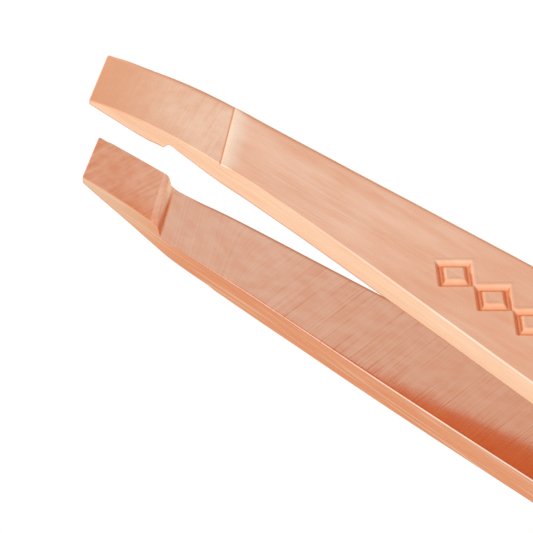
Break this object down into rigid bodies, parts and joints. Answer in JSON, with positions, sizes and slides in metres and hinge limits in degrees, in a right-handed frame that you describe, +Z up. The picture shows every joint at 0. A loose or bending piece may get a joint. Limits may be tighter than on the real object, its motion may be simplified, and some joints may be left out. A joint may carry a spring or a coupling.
{
  "type": "slant tweezers",
  "caption": "Slant tweezers: sprung metal arms with slanted filed jaws and ground tips, widening to a flat grip and welded together at a rounded tail.",
  "frame": {"origin": "centre of the box of the open tweezers in X and Y, at the table they lie on", "axes": "+X from the jaws to the tail, +Y across the arms to the side of the leading tip corner, +Z up from the table, the way the jaws open"},
  "size_m": [0.095, 0.0086, 0.0081],
  "materials": {
    "rose_gold_steel": "brushed stainless steel with a rose-gold coating",
    "weld_steel": "bare weld metal, hidden between the tails"
  },
  "bodies": {
    "tail": {"upper_tail": "rose_gold_steel", "lower_tail": "rose_gold_steel", "weld_nugget_front": "weld_steel", "weld_nugget_rear": "weld_steel"},
    "upper_arm": {"upper_arm": "rose_gold_steel"},
    "lower_arm": {"lower_arm": "rose_gold_steel"}
  },
  "joints": [
    {"name": "upper_arm_flex", "type": "hinge", "parent": "tail", "child": "upper_arm", "pos_m": [0.02655, 0, 0.00351], "axis": [0, -1, 0], "range_deg": [0, 1.86], "stiffness_Nm_per_rad": 2.6},
    {"name": "lower_arm_flex", "type": "hinge", "parent": "tail", "child": "lower_arm", "pos_m": [0.0265, 0, 0.00151], "axis": [0, 1, 0], "range_deg": [0, 1.86], "stiffness_Nm_per_rad": 2.6}
  ]
}
